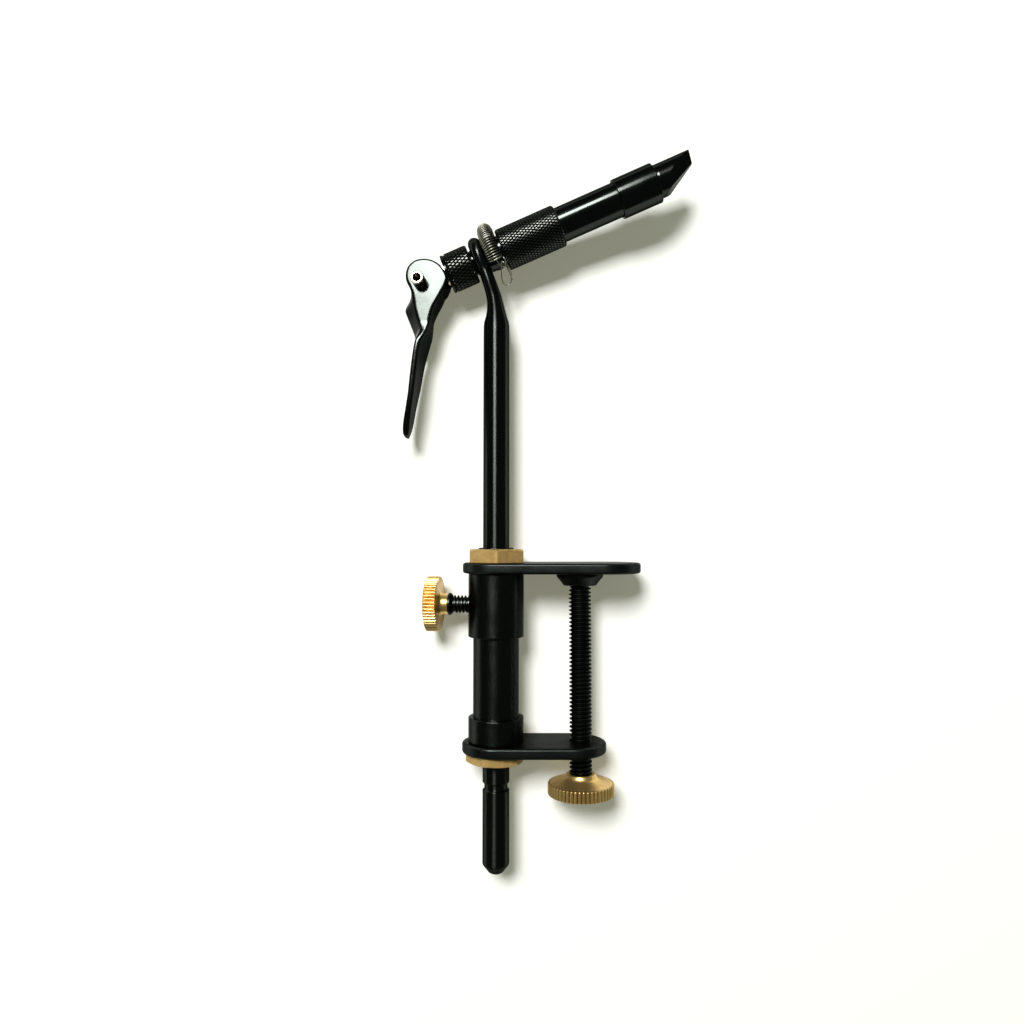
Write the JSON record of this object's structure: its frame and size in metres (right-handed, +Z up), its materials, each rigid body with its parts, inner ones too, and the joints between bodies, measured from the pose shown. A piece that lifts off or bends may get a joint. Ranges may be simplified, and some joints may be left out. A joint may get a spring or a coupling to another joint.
{
  "type": "fly tying vise",
  "caption": "Fly tying vise: lever-cam collet jaws in a turning barrel on a sliding stem, held by a screw clamp for a table edge.",
  "frame": {"origin": "clamp screw axis at the underside of the upper plate, where the table top bears", "axes": "+Z up along the stem, +X from the stem to the clamp screw (the jaws point 6 degrees from it toward -Y), -Y the side of the lever pin's long end"},
  "size_m": [0.1054, 0.028, 0.2572],
  "materials": {
    "black_steel": "black oxide over machined steel, semi-gloss",
    "gloss_black_steel": "polished steel, gloss black",
    "brass": "turned brass, lightly tarnished",
    "spring_steel": "drawn spring wire",
    "bright_steel": "bright turned steel"
  },
  "bodies": {
    "clamp": {"clamp_column": "black_steel", "upper_plate": "black_steel", "lower_plate": "black_steel", "top_nut": "brass", "bottom_nut": "brass"},
    "pad": {"clamp_pad": "black_steel"},
    "clamp_screw": {"clamp_screw": "black_steel", "clamp_knob": "brass"},
    "lock_screw": {"lock_screw": "black_steel"},
    "lock_knob": {"lock_knob": "brass"},
    "stem": {"stem": "black_steel"},
    "barrel": {"barrel": "gloss_black_steel", "grip_sleeve": "black_steel", "nose_sleeve": "gloss_black_steel", "material_spring": "spring_steel", "return_spring": "spring_steel", "key_pin": "bright_steel"},
    "thrust": {"thrust_washer": "black_steel"},
    "adjuster": {"adjuster_nut": "black_steel"},
    "collet": {"draw_rod": "bright_steel", "cam_pin": "bright_steel"},
    "near_jaw": {"near_jaw": "gloss_black_steel"},
    "far_jaw": {"far_jaw": "gloss_black_steel"},
    "lever": {"cam_lever": "gloss_black_steel"}
  },
  "joints": [
    {"name": "pad_slide", "type": "slide", "parent": "clamp", "child": "pad", "axis": [0, 0, 1], "range_m": [-0.045, 0]},
    {"name": "clamp_screw_turn", "type": "hinge", "parent": "pad", "child": "clamp_screw", "pos_m": [0, 0, 0], "axis": [0, 0, 1], "range_deg": [-11482, 1]},
    {"name": "lock_screw_slide", "type": "slide", "parent": "clamp", "child": "lock_screw", "axis": [-0.9934, 0.1149, 0], "range_m": [0, 0.004]},
    {"name": "lock_knob_turn", "type": "hinge", "parent": "lock_screw", "child": "lock_knob", "pos_m": [-0.03, 0, -0.0111], "axis": [-0.9934, 0.1149, 0], "range_deg": [-1, 1135]},
    {"name": "stem_slide", "type": "slide", "parent": "clamp", "child": "stem", "axis": [0, 0, 1], "range_m": [-0.07, 0.063]},
    {"name": "barrel_turn", "type": "hinge", "parent": "stem", "child": "barrel", "pos_m": [-0.0473, 0.00182, 0.1103], "axis": [-0.9201, 0.0967, -0.3795], "continuous": true},
    {"name": "thrust_slide", "type": "slide", "parent": "barrel", "child": "thrust", "axis": [0.9201, -0.0967, 0.3795], "range_m": [0, 0.00025]},
    {"name": "adjuster_turn", "type": "hinge", "parent": "thrust", "child": "adjuster", "pos_m": [-0.0473, 0.00182, 0.1103], "axis": [0.9201, -0.0967, 0.3795], "range_deg": [-1, 91]},
    {"name": "collet_slide", "type": "slide", "parent": "barrel", "child": "collet", "axis": [0.9201, -0.0967, 0.3795], "range_m": [0, 0.00146]},
    {"name": "lever_lift", "type": "hinge", "parent": "collet", "child": "lever", "pos_m": [-0.05756, 0.0029, 0.10607], "axis": [0.1045, 0.9945, 0], "range_deg": [-0.5, 78.5]},
    {"name": "near_jaw_open", "type": "hinge", "parent": "collet", "child": "near_jaw", "pos_m": [-0.0013, -0.00302, 0.12927], "axis": [0.3774, -0.0397, -0.9252], "range_deg": [-0.01, 0.53]},
    {"name": "far_jaw_open", "type": "hinge", "parent": "collet", "child": "far_jaw", "pos_m": [-0.0013, -0.00302, 0.12927], "axis": [-0.3774, 0.0397, 0.9252], "range_deg": [-0.01, 0.53]}
  ],
  "couplings": [
    {"joint": "clamp_screw_turn", "follows": "pad_slide", "rad_per_m": 4453},
    {"joint": "lock_knob_turn", "follows": "lock_screw_slide", "rad_per_m": 4947.4},
    {"joint": "adjuster_turn", "follows": "thrust_slide", "rad_per_m": 6283.2},
    {"joint": "lever_lift", "follows": "collet_slide", "rad_per_m": 934.58},
    {"joint": "near_jaw_open", "follows": "collet_slide", "rad_per_m": 6.075},
    {"joint": "far_jaw_open", "follows": "collet_slide", "rad_per_m": 6.075}
  ]
}
